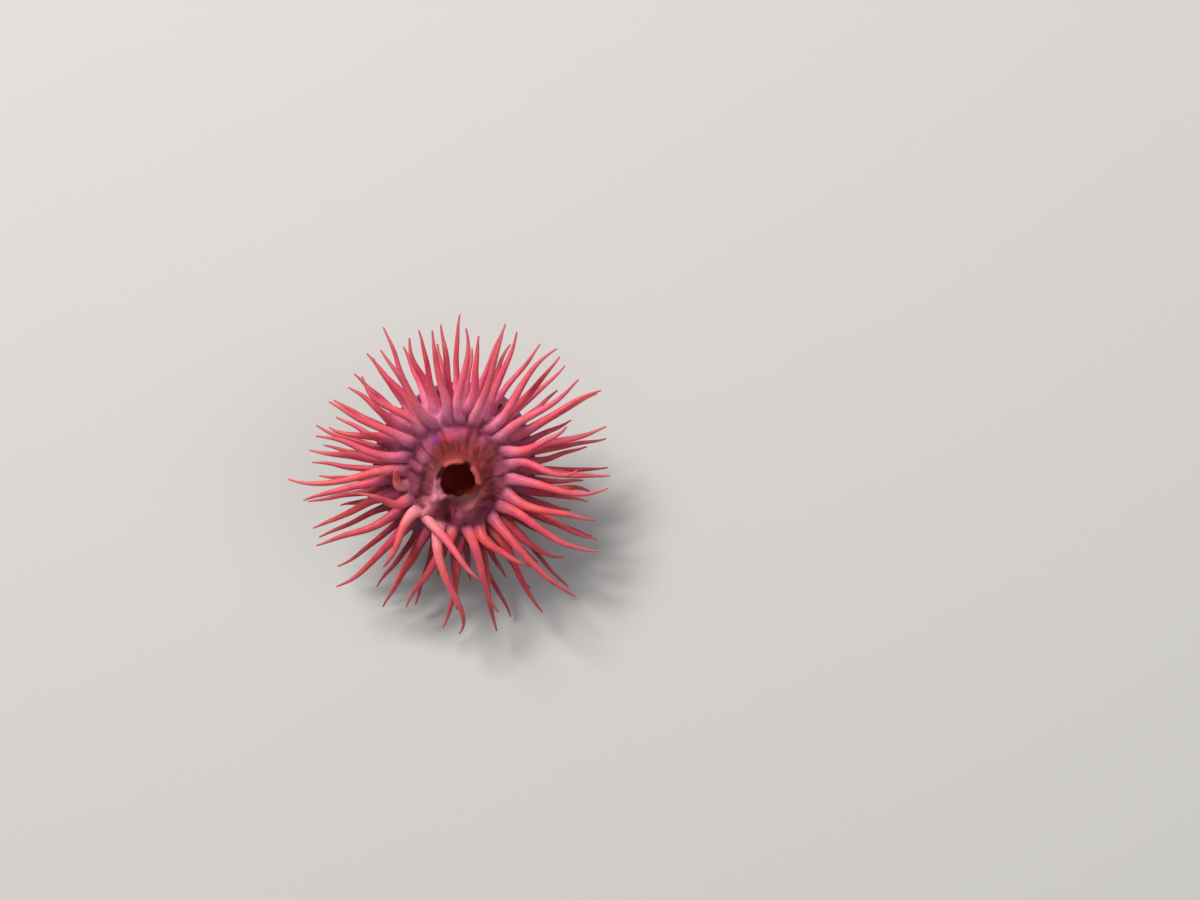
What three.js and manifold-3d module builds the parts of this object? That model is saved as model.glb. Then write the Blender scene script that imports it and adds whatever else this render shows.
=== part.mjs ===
// A beadlet anemone, life size, resting on the flat sole of its foot.
// Millimetres, +Z up. The origin is the centre of the sole. The crown leans toward -Y.
import * as THREE from 'three';
import { mergeVertices } from 'three/addons/utils/BufferGeometryUtils.js';
import Module from 'manifold-3d';

const wasm = await Module();
wasm.setup();

// ---------------------------------------------------------------- driving dimensions

const GAP = 0.3;              // clear space between one body part and the next

const COLUMN_LENGTH = 20;     // along the bent column, from the sole to the underside of the collar
const CROWN_LEAN = 22;        // degrees from upright at the top of the column
const LEAN_TURN = 8;          // degrees from -Y toward +X in which the crown leans

const FOOT_HEIGHT = 3.4;
const FOOT_SPREAD = 2.7;      // how far the foot flares beyond the column
const FLARE_LENGTH = 3.0;     // height over which the flare dies away
const SOLE_EDGE = 0.7;        // radius of the rounded edge of the sole
const COLUMN_RADIUS = 15.0;
const COLUMN_JOIN = 11.85;    // height of the cut between the lower and the upper column
const COLUMN_SWELL = 1.2;     // widening of the column under the collar

const CROWN_DEPTH = 6.8;      // from the underside of the collar up to the crown's own plane
const COLLAR_TOP = -4.4;      // heights in the crown are measured from the crown's plane
const COLLAR_RADIUS = 18.3;
const COLLAR_SHOULDER = 0.4;  // how far the collar draws in below its beads
const COLLAR_RIM = 0.7;       // how far it draws in above them
const BEAD_COUNT = 24;
const BEAD_RELIEF = 1.0;      // how far each bead stands out of the collar
const BEAD_PLACE = 0.6;       // height of the beads as a share of the collar's height

const CROWN_FLOOR = COLLAR_TOP + GAP;
const DISC_RADIUS = 10.1;
const DISC_HOLE_RADIUS = 5.2;
const DISC_MARGIN_HEIGHT = 0.9;
const DISC_CENTRE_HEIGHT = 2.9;
const DISC_STRETCH = 0.1;     // how much longer the disc is along Y than along X
const DISC_OFFSET = 0.6;      // how far the disc sits toward +X of the collar's middle
const STRETCH_FROM = 13;      // the oval of the disc fades from this radius to the margin's edge
const MOUTH_SHIFT = new THREE.Vector2(0.4, -1.1);  // the mouth sits off the middle of the disc
const LIP_RADIUS = 4.85;
const LIP_HALF_WIDTH = 0.75;
const LIP_CREST = 0.6;        // width of the lips' flat crest
const LIP_BASE = 2.2;
const LIP_TOP = 4.1;
const THROAT_RADIUS = 4.0;
const THROAT_WALL = 0.9;
const THROAT_BOTTOM = -2.7;
const THROAT_BEVEL = 0.8;

const SECTORS = 24;           // the tentacle-bearing margin is cut into this many sectors
const MARGIN_RADIUS = 17.4;
const INNER_STRIP = [[12.95, 0.5], [11.9, 0.9], [10.4, 1.1]];  // [radius, height], outer edge first
const OUTER_STRIP = [[MARGIN_RADIUS, -3.0], [15.8, -1.5], [14.3, -0.4], [13.4, -0.3]];
const ROOT_DEPTH = 0.6;       // how far a tentacle's root reaches back into the margin
const TAPER = 0.85;           // exponent of the tentacle's taper
const ROOT_HANDLE = 0.3;      // share of its span over which a tentacle keeps its root's direction
const TIP_HANDLE = 0.34;      // the same share at its tip
const PINCH = { angle: 150, depth: 5 };  // the long tentacles reach less far on this side

const BODY_SIDES = 28;
const COLUMN_BANDS = 3;
const MOUTH_SIDES = 16;
const COLLAR_SIDES = 2 * BEAD_COUNT;

// Three rings of tentacles. Angles are in degrees, counter-clockwise from +X in the crown's plane.
// Each pose value is [on the crown's high side, on its low side, scatter from one tentacle to the next].
// reach: distance of the tip from the crown's axis. lift: height of the tip. pitch: climb of the tip.
// tilt: angle of the root from the crown's axis. sway: turn of the tip away from the root.
// hook: sideways turn of the tip. wave: sideways swing of the middle. base: turn of the root.
const INNER = {
  count: 24, first: 10, radius: 11.9, height: 0.3, root: 1.2, tip: 0.3, seed: 0.13, lengths: 6,
  pose: {
    tilt: [46, 34, 4], reach: [36.5, 38.5, 1.5], lift: [6, 1.5, 1.8], pitch: [-4, -26, 6],
    sway: [0, 0, 2.5], hook: [0, 0, 7], wave: [0, 0, 1.2], base: [0, 0, 0.8],
  },
};
const MIDDLE = {
  count: 24, first: 17.5, radius: 14.5, height: -1.2, root: 1.12, tip: 0.29, seed: 0.37, lengths: 4,
  pose: {
    tilt: [70, 62, 3], reach: [36, 38, 2], lift: [1.5, -3.5, 1.5], pitch: [-6, -24, 6],
    sway: [0, 0, 2.5], hook: [0, 0, 7], wave: [0, 0, 0.6], base: [0, 0, 0.8],
  },
};
const OUTER = {
  count: 48, first: 13.75, radius: 16.6, height: -2.8, root: 0.86, tip: 0.28, seed: 0.71, lengths: 4,
  pose: {
    tilt: [94, 94, 2], reach: [35, 37, 1.2], lift: [-5, -9.5, 0.8], pitch: [-12, -26, 0],
    sway: [0, 0, 1.5], hook: [0, 0, 4], wave: [0, 0, 0.3], base: [0, 0, 0.3],
  },
};
// Every other tentacle of the outermost ring is a young, shorter one.
const YOUNG = {
  lengths: 3,
  pose: { ...OUTER.pose, reach: [29, 30.5, 2], lift: [-6.8, -8.6, 0.8], sway: [0, 0, 1] },
};
const TENTACLE_SIDES = 5;

// Pose values that vary together share a salt.
const SALTS = { tilt: 0, pitch: 0, reach: 0.29, wave: 0.29, sway: 0.53, hook: 0.53, lift: 0.77, base: 0.77 };

// Tentacles that stand out from the even pattern, by their place in the ring.
// turn: sideways turn of the root's direction. rise: its own share in place of ROOT_HANDLE.
INNER.standouts = {
  0: { reach: 27.5, sway: -6, lift: 4, pitch: -50, hook: -12 },
  1: { reach: 28, sway: 2, lift: 5, pitch: -40, hook: 25 },
  6: { reach: 34.5, sway: -3 },
  8: { reach: 31 },
  11: { reach: 36.5, sway: 5 },
  12: { reach: 12.5, sway: -24, lift: 5.5, pitch: 50, hook: -75, tilt: 50 },
  13: { reach: 20.5, sway: -20, lift: 8, pitch: 10, hook: -25, tilt: 40, turn: -35 },
  14: { reach: 26.5, sway: 13, lift: 3, pitch: -50, hook: 12, tilt: 28 },
  15: { reach: 22.5, sway: 51, lift: 12, pitch: -35, hook: -25, tilt: 18, turn: 110, rise: 0.55 },
  16: { reach: 39.5, sway: 21, lift: -1, pitch: -45, hook: -20, tilt: 32, turn: 20, rise: 0.36 },
  17: { reach: 18.5, sway: 1, lift: 2.5, pitch: -15, hook: 0, tilt: 44 },
  18: { reach: 34.5, sway: 6, lift: 1.5, hook: -8 },
  19: { reach: 27, sway: 15, lift: 4.5, pitch: -10, hook: 35, tilt: 25 },
  20: { reach: 39.5, sway: 3 },
  21: { reach: 37, sway: 6, tilt: 30 },
  22: { reach: 33.5 },
  23: { reach: 34.5, sway: 1, pitch: 10, hook: 20 },
};
MIDDLE.standouts = {
  3: { reach: 36, sway: 4 },
  4: { reach: 32.5 },
  6: { reach: 33 },
  9: { reach: 29.5, sway: 6 },
  11: { reach: 34.5, sway: 8 },
  12: { reach: 35, sway: 6 },
  13: { reach: 36, sway: -4 },
  16: { reach: 35.5, sway: -7 },
  17: { reach: 39.5, sway: -7 },
  18: { reach: 40.5, sway: -5 },
  19: { reach: 40.5, sway: -3 },
  20: { reach: 33, hook: 40 },
  22: { reach: 31.5, sway: 3, hook: -20 },
  23: { reach: 35, sway: -4 },
};
OUTER.standouts = {
  0: { reach: 35, sway: -4 },
  6: { sway: -3 },
  8: { sway: -3 },
  14: { reach: 36, sway: -4 },
  36: { reach: 41, sway: 4 },
  40: { reach: 40.5, sway: -4 },
  44: { reach: 32 },
};

// ---------------------------------------------------------------- small helpers

const radians = THREE.MathUtils.degToRad;
const lerp = THREE.MathUtils.lerp;

// An even scatter of numbers between -1 and 1, the same on every run.
function scatter(index, seed) {
  const golden = 0.61803399;
  return 2 * (((index + 1) * golden + seed) % 1) - 1;
}

function onCircle(radius, degrees, height) {
  const angle = radians(degrees);
  return new THREE.Vector3(radius * Math.cos(angle), radius * Math.sin(angle), height);
}

function mapVertices(geometry, place) {
  const position = geometry.attributes.position;
  for (let i = 0; i < position.count; i += 1) {
    const point = place(position.getX(i), position.getY(i), position.getZ(i));
    position.setXYZ(i, point.x, point.y, point.z);
  }
  return geometry;
}

// A solid of revolution about Z from a profile of [radius, height] pairs.
function lathe(profile, sides) {
  const points = profile.map(([radius, height]) => new THREE.Vector2(radius, height));
  return new THREE.LatheGeometry(points, sides).rotateX(Math.PI / 2);
}

function toSolid(geometry) {
  const bare = geometry.clone();
  bare.deleteAttribute('normal');
  bare.deleteAttribute('uv');
  const merged = mergeVertices(bare, 1e-4);
  const index = merged.index.array;
  const triangles = [];
  for (let i = 0; i < index.length; i += 3) {
    const [a, b, c] = [index[i], index[i + 1], index[i + 2]];
    if (a !== b && b !== c && c !== a) triangles.push(a, b, c);
  }
  return new wasm.Manifold(new wasm.Mesh({
    numProp: 3,
    vertProperties: new Float32Array(merged.attributes.position.array),
    triVerts: new Uint32Array(triangles),
  }));
}

function toMesh(name, solid, color, roughness) {
  const { vertProperties, triVerts } = solid.getMesh();
  const geometry = new THREE.BufferGeometry();
  geometry.setAttribute('position', new THREE.BufferAttribute(vertProperties, 3));
  geometry.setIndex(new THREE.BufferAttribute(triVerts, 1));
  geometry.computeVertexNormals();
  const material = new THREE.MeshStandardMaterial({ color, roughness, metalness: 0 });
  const mesh = new THREE.Mesh(geometry, material);
  mesh.name = name;
  return mesh;
}

// ---------------------------------------------------------------- the lean of the body

const leanAxis = onCircle(1, LEAN_TURN, 0);
const leanDirection = onCircle(1, LEAN_TURN - 90, 0);
const bendRadius = COLUMN_LENGTH / radians(CROWN_LEAN);

// The middle of the column at a length along it: an arc that starts upright.
function columnCentre(length) {
  const angle = length / bendRadius;
  const centre = leanDirection.clone().multiplyScalar(bendRadius * (1 - Math.cos(angle)));
  centre.z = bendRadius * Math.sin(angle);
  return centre;
}

// Bends a point of the straight column onto the leaning one.
function bend(x, y, length) {
  const offset = new THREE.Vector3(x, y, 0).applyAxisAngle(leanAxis, length / bendRadius);
  return columnCentre(length).add(offset);
}

// ---------------------------------------------------------------- foot and column

function columnRadius(length) {
  const flare = FOOT_SPREAD * Math.exp(-length / FLARE_LENGTH);
  const swell = COLUMN_SWELL * (length / COLUMN_LENGTH) ** 3;
  return COLUMN_RADIUS + flare + swell;
}

function columnLength(from, to, bands) {
  const profile = [[0, from]];
  for (let i = 0; i <= bands; i += 1) {
    const length = lerp(from, to, i / bands);
    profile.push([columnRadius(length), length]);
  }
  profile.push([0, to]);
  return toSolid(mapVertices(lathe(profile, BODY_SIDES), bend));
}

function foot() {
  const rim = columnRadius(0);
  const profile = [[0, 0], [rim - SOLE_EDGE, 0], [rim, SOLE_EDGE]];
  const bands = 2;
  for (let i = 1; i <= bands; i += 1) {
    const length = lerp(SOLE_EDGE, FOOT_HEIGHT, i / bands);
    profile.push([columnRadius(length), length]);
  }
  profile.push([0, FOOT_HEIGHT]);
  return toSolid(mapVertices(lathe(profile, BODY_SIDES), bend));
}

// ---------------------------------------------------------------- collar and its beads

function collar() {
  const under = -CROWN_DEPTH;
  const beadHeight = lerp(under, COLLAR_TOP, BEAD_PLACE);
  const profile = [
    [0, under],
    [columnRadius(COLUMN_LENGTH), under],
    [COLLAR_RADIUS - COLLAR_SHOULDER, lerp(under, COLLAR_TOP, BEAD_PLACE / 2)],
    [COLLAR_RADIUS, beadHeight],
    [COLLAR_RADIUS - COLLAR_RIM, COLLAR_TOP],
    [0, COLLAR_TOP],
  ];
  return toSolid(mapVertices(lathe(profile, COLLAR_SIDES), (x, y, height) => {
    const side = Math.round(Math.atan2(y, x) / (2 * Math.PI) * COLLAR_SIDES);
    const onBead = side % 2 === 0 && Math.abs(height - beadHeight) < 0.01;
    const grow = onBead ? 1 + BEAD_RELIEF / COLLAR_RADIUS : 1;
    return new THREE.Vector3(x * grow, y * grow, height);
  }));
}

// ---------------------------------------------------------------- disc, lips and throat

// Turns a round ring of the crown into the disc's oval, which fades out toward the margin's edge.
function ovalDisc(x, y, height) {
  const radius = Math.hypot(x, y);
  const share = THREE.MathUtils.clamp((MARGIN_RADIUS - radius) / (MARGIN_RADIUS - STRETCH_FROM), 0, 1);
  return new THREE.Vector3(x + DISC_OFFSET * share, y * (1 + DISC_STRETCH * share), height);
}

// Slides a ring about the mouth sideways, by less and less toward the disc's margin.
function shiftMouth(x, y, height) {
  const radius = Math.hypot(x, y);
  const hold = (DISC_RADIUS - radius) / (DISC_RADIUS - DISC_HOLE_RADIUS);
  const share = THREE.MathUtils.clamp(hold, 0, 1);
  const point = ovalDisc(x, y, height);
  point.x += share * MOUTH_SHIFT.x;
  point.y += share * MOUTH_SHIFT.y;
  return point;
}

// Height of the disc's gently domed face.
function discHeight(radius) {
  const share = (radius - DISC_HOLE_RADIUS) / (DISC_RADIUS - DISC_HOLE_RADIUS);
  return lerp(DISC_CENTRE_HEIGHT, DISC_MARGIN_HEIGHT, share ** 1.4);
}

function oralDisc() {
  const profile = [[DISC_HOLE_RADIUS, CROWN_FLOOR], [DISC_RADIUS, CROWN_FLOOR]];
  const bands = 3;
  for (let i = 0; i <= bands; i += 1) {
    const radius = lerp(DISC_RADIUS, DISC_HOLE_RADIUS, i / bands);
    profile.push([radius, discHeight(radius)]);
  }
  profile.push([DISC_HOLE_RADIUS, CROWN_FLOOR]);
  return toSolid(mapVertices(lathe(profile, BODY_SIDES), shiftMouth));
}

function lips() {
  const inside = LIP_RADIUS - LIP_HALF_WIDTH;
  const outside = LIP_RADIUS + LIP_HALF_WIDTH;
  const neck = DISC_HOLE_RADIUS - GAP;
  const shoulder = (DISC_CENTRE_HEIGHT + LIP_TOP) / 2;
  const profile = [
    [inside, LIP_BASE],
    [neck, LIP_BASE],
    [neck, DISC_CENTRE_HEIGHT],
    [outside, shoulder],
    [LIP_RADIUS + LIP_CREST / 2, LIP_TOP],
    [LIP_RADIUS - LIP_CREST / 2, LIP_TOP],
    [inside, shoulder],
    [inside, LIP_BASE],
  ];
  return toSolid(mapVertices(lathe(profile, MOUTH_SIDES), shiftMouth));
}

function throat() {
  const outside = THROAT_RADIUS + THROAT_WALL;
  const rim = LIP_BASE - GAP;
  const profile = [
    [0, CROWN_FLOOR],
    [outside, CROWN_FLOOR],
    [outside, rim],
    [THROAT_RADIUS, rim],
    [THROAT_RADIUS, THROAT_BOTTOM + THROAT_BEVEL],
    [THROAT_RADIUS - THROAT_BEVEL, THROAT_BOTTOM],
    [0, THROAT_BOTTOM],
  ];
  return toSolid(mapVertices(lathe(profile, MOUTH_SIDES), shiftMouth));
}

// ---------------------------------------------------------------- tentacles

// The centre line of a tentacle: one sweep from root to tip with a slight sideways wave.
class TentacleCurve extends THREE.Curve {
  constructor(pose) {
    super();
    const flat = onCircle(pose.radius, pose.base, pose.height);
    const root = ovalDisc(flat.x, flat.y, flat.z);
    const tip = onCircle(pose.reach, pose.base + pose.sway, pose.lift);
    const chord = tip.clone().sub(root);
    const length = chord.length();
    const tilt = radians(pose.tilt);
    const start = onCircle(Math.sin(tilt), pose.base + pose.turn, Math.cos(tilt));
    const heading = THREE.MathUtils.radToDeg(Math.atan2(chord.y, chord.x)) + pose.hook;
    const pitch = radians(pose.pitch);
    const end = onCircle(Math.cos(pitch), heading, Math.sin(pitch));
    const first = root.clone().addScaledVector(start, length * pose.rise);
    const second = tip.clone().addScaledVector(end, -length * TIP_HANDLE);
    this.sweep = new THREE.CubicBezierCurve3(root, first, second, tip);
    this.side = chord.cross(new THREE.Vector3(0, 0, 1)).normalize();
    this.wave = pose.wave;
  }

  getPoint(t, target = new THREE.Vector3()) {
    const sideways = this.wave * Math.sin(2 * Math.PI * t);
    return this.sweep.getPoint(t, target).addScaledVector(this.side, sideways);
  }
}

// What one tentacle takes its pose and its lengths from.
function kindOf(ring, index) {
  return ring === OUTER && index % 2 === 1 ? YOUNG : ring;
}

function tentaclePose(ring, index) {
  const angle = ring.first + index * 360 / ring.count;
  const low = (1 - Math.sin(radians(angle))) / 2;
  const kind = kindOf(ring, index);
  const pose = { radius: ring.radius, height: ring.height, turn: 0, rise: ROOT_HANDLE };
  for (const [key, [high, lowest, play]] of Object.entries(kind.pose)) {
    pose[key] = lerp(high, lowest, low) + play * scatter(index, ring.seed + SALTS[key]);
  }
  pose.base += angle;
  if (kind !== YOUNG) pose.reach -= PINCH.depth * Math.max(0, Math.cos(radians(angle - PINCH.angle))) ** 4;
  return { ...pose, ...ring.standouts[index] };
}

function tentacle(ring, index) {
  const curve = new TentacleCurve(tentaclePose(ring, index));
  const lengths = kindOf(ring, index).lengths;
  const frames = curve.computeFrenetFrames(lengths, false);
  const profile = [[0, 0]];
  for (let station = 0; station <= lengths; station += 1) {
    const share = (1 - station / lengths) ** TAPER;
    profile.push([lerp(ring.tip, ring.root, share), station]);
  }
  profile.push([0, lengths + 1]);
  const geometry = lathe(profile, TENTACLE_SIDES);
  return toSolid(mapVertices(geometry, (x, y, height) => {
    const station = Math.min(Math.round(height), lengths);
    const point = curve.getPointAt(station / lengths);
    if (height < 0.5) point.addScaledVector(frames.tangents[0], -ROOT_DEPTH);
    if (height > lengths + 0.5) point.addScaledVector(frames.tangents[station], ring.tip);
    point.addScaledVector(frames.normals[station], x);
    return point.addScaledVector(frames.binormals[station], y);
  }));
}

// ---------------------------------------------------------------- tentacle-bearing margin

// A block of one sector of the margin, under a strip of [radius, height] pairs.
function sector(strip, angle) {
  const outline = [[strip.at(-1)[0], CROWN_FLOOR], [strip[0][0], CROWN_FLOOR], ...strip];
  const shape = new THREE.Shape(outline.map(([radius, height]) => new THREE.Vector2(radius, height)));
  const block = new THREE.ExtrudeGeometry(shape, { depth: 1, steps: 1, bevelEnabled: false });
  return toSolid(mapVertices(block, (radius, height, depth) => {
    const width = 360 / SECTORS - THREE.MathUtils.radToDeg(GAP / radius);
    const point = onCircle(radius, angle - (depth - 0.5) * width, height);
    return ovalDisc(point.x, point.y, point.z);
  }));
}

function innerSector(index) {
  const block = sector(INNER_STRIP, INNER.first + index * 360 / SECTORS);
  return block.add(tentacle(INNER, index));
}

function outerSector(index) {
  const block = sector(OUTER_STRIP, MIDDLE.first + index * 360 / SECTORS);
  return block
    .add(tentacle(MIDDLE, index))
    .add(tentacle(OUTER, 2 * index))
    .add(tentacle(OUTER, 2 * index + 1));
}

// ---------------------------------------------------------------- the whole animal

const columnLower = columnLength(FOOT_HEIGHT + GAP, COLUMN_JOIN - GAP / 2, COLUMN_BANDS);
const columnUpper = columnLength(COLUMN_JOIN + GAP / 2, COLUMN_LENGTH - GAP, COLUMN_BANDS);
const anemone = new THREE.Group();
anemone.add(toMesh('foot', foot(), 0x8a2c33, 0.4));
anemone.add(toMesh('column_lower', columnLower, 0x8f2f36, 0.35));
anemone.add(toMesh('column_upper', columnUpper, 0x93333a, 0.35));

const crown = new THREE.Group();
crown.quaternion.setFromAxisAngle(leanAxis, radians(CROWN_LEAN));
const crownUp = new THREE.Vector3(0, 0, 1).applyQuaternion(crown.quaternion);
crown.position.copy(columnCentre(COLUMN_LENGTH).addScaledVector(crownUp, CROWN_DEPTH));
crown.add(toMesh('collar', collar(), 0x9a3a46, 0.35));
crown.add(toMesh('oral_disc', oralDisc(), 0x8c4048, 0.3));
crown.add(toMesh('lips', lips(), 0xa64c48, 0.3));
crown.add(toMesh('throat', throat(), 0x4a0d0b, 0.3));
for (let i = 0; i < SECTORS; i += 1) {
  const number = String(i + 1).padStart(2, '0');
  crown.add(toMesh(`tentacles_inner_${number}`, innerSector(i), 0xd9586c, 0.35));
  crown.add(toMesh(`tentacles_outer_${number}`, outerSector(i), 0xc94e60, 0.35));
}
anemone.add(crown);

export default anemone;
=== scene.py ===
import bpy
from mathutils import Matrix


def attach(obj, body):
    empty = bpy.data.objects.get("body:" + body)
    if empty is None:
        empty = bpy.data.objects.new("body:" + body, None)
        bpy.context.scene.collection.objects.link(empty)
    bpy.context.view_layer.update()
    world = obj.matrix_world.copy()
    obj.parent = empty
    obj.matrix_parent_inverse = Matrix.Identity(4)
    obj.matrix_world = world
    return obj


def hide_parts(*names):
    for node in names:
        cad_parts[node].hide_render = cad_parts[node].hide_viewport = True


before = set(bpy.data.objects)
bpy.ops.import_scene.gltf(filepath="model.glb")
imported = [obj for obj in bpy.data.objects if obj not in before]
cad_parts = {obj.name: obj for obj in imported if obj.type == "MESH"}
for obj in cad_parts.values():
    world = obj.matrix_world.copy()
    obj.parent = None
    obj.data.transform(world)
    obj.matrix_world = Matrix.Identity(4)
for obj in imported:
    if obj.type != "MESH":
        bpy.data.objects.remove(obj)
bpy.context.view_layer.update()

import math

import bpy
import numpy as np
from mathutils import Matrix, Quaternion, Vector, noise

# ------------------------------------------------------------------ sizes, in millimetres and degrees

MM = 0.001

COLUMN_LENGTH = 20.0
CROWN_LEAN = 22.0
LEAN_TURN = 8.0
FOOT_SPREAD = 2.7
FLARE_LENGTH = 3.0
COLUMN_RADIUS = 15.0
COLUMN_SWELL = 1.2
CROWN_DEPTH = 6.8
BEAD_COUNT = 24
BEAD_RELIEF = 1.0
RIDGE_COUNT = 24
RIDGE_RELIEF = 0.06
DISC_RADIUS = 10.1
DISC_HOLE_RADIUS = 5.2
DISC_MARGIN_HEIGHT = 0.9
DISC_CENTRE_HEIGHT = 2.9
DISC_STRETCH = 0.1
DISC_OFFSET = 0.6
STRETCH_FROM = 13.0
MARGIN_RADIUS = 17.4
MOUTH_SHIFT = (0.4, -1.1)
THROAT_FLOOR = -2.55
LIP_EDGE_RADIUS = 5.75
DISC_EDGE_RADIUS = 10.5
DISC_RINGS = 9

# Tentacles. From the share TIP_THIN_FROM of the length on, they are thinned for pointed tips.
TAPER = 0.85
ROOT_HANDLE = 0.3
TIP_HANDLE = 0.34
TIP_THINNING = 0.3
TIP_THIN_FROM = 0.7
TIP_THIN_OVER = 0.3
LUMP_RELIEF = 0.035
LINE_SAMPLES = 240

# The crown's outline is drawn in round this side.
PINCH_ANGLE = 150
PINCH_DEPTH = 5

# Where a tentacle grows out of the margin: how far each ring between the two has gone over.
ROOT_BLENDS = (0.4, 0.75)
# The rounded tip: each ring's share of the last radius, and how many tip radii beyond it stands.
TIP_CAPS = ((0.84, 0.35), (0.5, 0.6))
TIP_END = 0.7

# Sides of the mouth, in degrees round the crown's middle.
UPPER_LIP = 102
RIGHT_LIP = 22
LEFT_FOLD = 196
LOWER_EDGE = 275
GLOW_SIDE = 322
BROWN_SIDE = 110

AROUND = 96    # points round the body
STEP = 360.0 / AROUND

# The three rings of tentacles. Each pose value is [high side of the crown, low side, scatter].
# sides: points round a tentacle. stations: rings along it. cell: half the room round its root, in
# points round the body. start: the length at which its own rings begin. flare: how far the root
# widens sideways to meet its neighbours, and over what length it narrows. depth: 0 for the inner
# ring and 1 for the outermost; it sets the painted shade of rings that lie further back and lower.
# spoke and edge: radius and height of the margin's points between two tentacles and beyond them.
# slope: how far the margin faces outward there.
# In a pose, tilt is the lean from upright at the root. reach, sway and lift are the tip's radius, its
# turn from the root's side and its height. pitch and hook are how far the end points up and turns
# aside. wave is a swing to the side, and base shifts the root. A standout is one tentacle placed by
# itself: turn turns its start, rise is how far the start carries, and pale makes it paler, as painted
# light on a tentacle that catches the light, which also takes the low side's painted shade off it.
INNER = {
    "count": 24, "first": 10.0, "radius": 11.9, "height": 0.3, "root": 1.2, "tip": 0.3, "seed": 0.13,
    "stations": 19, "sides": 12, "cell": 2, "start": 1.3, "flare": (0.34, 2.2), "depth": 0.0,
    "spoke": (11.85, 1.0), "edge": (13.2, 0.25), "slope": 12,
    "pose": {
        "tilt": [46, 34, 4], "reach": [36.5, 38.5, 1.5], "lift": [6, 1.5, 1.8], "pitch": [-4, -26, 6],
        "sway": [0, 0, 2.5], "hook": [0, 0, 7], "wave": [0, 0, 1.2], "base": [0, 0, 0.8],
    },
    "standouts": {
        0: {"reach": 27.5, "sway": -6, "lift": 4, "pitch": -50, "hook": -12},
        1: {"reach": 28, "sway": 2, "lift": 5, "pitch": -40, "hook": 25},
        6: {"reach": 34.5, "sway": -3},
        8: {"reach": 31},
        11: {"reach": 36.5, "sway": 5},
        12: {"pale": 0.9, "reach": 12.5, "sway": -24, "lift": 5.5, "pitch": 50, "hook": -75, "tilt": 50},
        13: {"reach": 20.5, "sway": -20, "lift": 8, "pitch": 10, "hook": -25, "tilt": 40, "turn": -35},
        14: {"pale": 0.8, "reach": 26.5, "sway": 13, "lift": 3, "pitch": -50, "hook": 12, "tilt": 28},
        15: {
            "pale": 1, "reach": 22.5, "sway": 51, "lift": 12, "pitch": -35, "hook": -25,
            "tilt": 18, "turn": 110, "rise": 0.55,
        },
        16: {
            "pale": 0.8, "reach": 39.5, "sway": 21, "lift": -1, "pitch": -45, "hook": -20,
            "tilt": 32, "turn": 20, "rise": 0.36,
        },
        17: {"reach": 18.5, "sway": 1, "lift": 2.5, "pitch": -15, "hook": 0, "tilt": 44},
        18: {"reach": 34.5, "sway": 6, "lift": 1.5, "hook": -8},
        19: {"reach": 27, "sway": 15, "lift": 4.5, "pitch": -10, "hook": 35, "tilt": 25},
        20: {"reach": 39.5, "sway": 3},
        21: {"reach": 37, "sway": 6, "tilt": 30},
        22: {"reach": 33.5},
        23: {"reach": 34.5, "sway": 1, "pitch": 10, "hook": 20},
    },
}
MIDDLE = {
    "count": 24, "first": 17.5, "radius": 14.5, "height": -1.2, "root": 1.12, "tip": 0.29, "seed": 0.37,
    "stations": 17, "sides": 12, "cell": 2, "start": 1.2, "flare": (0.45, 3.0), "depth": 0.45,
    "spoke": (14.5, -0.35), "edge": (15.7, -1.25), "slope": 32,
    "pose": {
        "tilt": [70, 62, 3], "reach": [36, 38, 2], "lift": [1.5, -3.5, 1.5], "pitch": [-6, -24, 6],
        "sway": [0, 0, 2.5], "hook": [0, 0, 7], "wave": [0, 0, 0.6], "base": [0, 0, 0.8],
    },
    "standouts": {
        3: {"reach": 36, "sway": 4},
        4: {"reach": 32.5},
        6: {"reach": 33},
        9: {"reach": 29.5, "sway": 6},
        11: {"reach": 34.5, "sway": 8},
        12: {"reach": 35, "sway": 6},
        13: {"reach": 36, "sway": -4},
        16: {"reach": 35.5, "sway": -7},
        17: {"reach": 39.5, "sway": -7},
        18: {"reach": 40.5, "sway": -5},
        19: {"reach": 40.5, "sway": -3},
        20: {"reach": 33, "hook": 40},
        22: {"reach": 31.5, "sway": 3, "hook": -20},
        23: {"reach": 35, "sway": -4},
    },
}
OUTER = {
    "count": 48, "first": 13.75, "radius": 16.6, "height": -2.8, "root": 0.86, "tip": 0.28, "seed": 0.71,
    "stations": 14, "sides": 8, "cell": 1, "start": 1.0, "flare": (0.15, 2.0), "depth": 1.0,
    "spoke": (16.65, -2.3), "edge": (17.4, -3.3), "slope": 52,
    "pose": {
        "tilt": [94, 94, 2], "reach": [35, 37, 1.2], "lift": [-5, -9.5, 0.8], "pitch": [-12, -26, 0],
        "sway": [0, 0, 1.5], "hook": [0, 0, 4], "wave": [0, 0, 0.3], "base": [0, 0, 0.3],
    },
    "standouts": {
        0: {"reach": 35, "sway": -4},
        6: {"sway": -3},
        8: {"sway": -3},
        14: {"reach": 36, "sway": -4},
        36: {"reach": 41, "sway": 4},
        40: {"reach": 40.5, "sway": -4},
        44: {"reach": 32},
    },
}
# Every other tentacle of the outermost ring is a young, shorter one.
YOUNG = {
    "stations": 10,
    "pose": {**OUTER["pose"], "reach": [29, 30.5, 2], "lift": [-6.8, -8.6, 0.8], "sway": [0, 0, 1]},
}
# Added to a ring's seed, so that the scatter of these values doesn't all go together.
SALTS = {
    "tilt": 0, "pitch": 0, "reach": 0.29, "wave": 0.29,
    "sway": 0.53, "hook": 0.53, "lift": 0.77, "base": 0.77,
}

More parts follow.
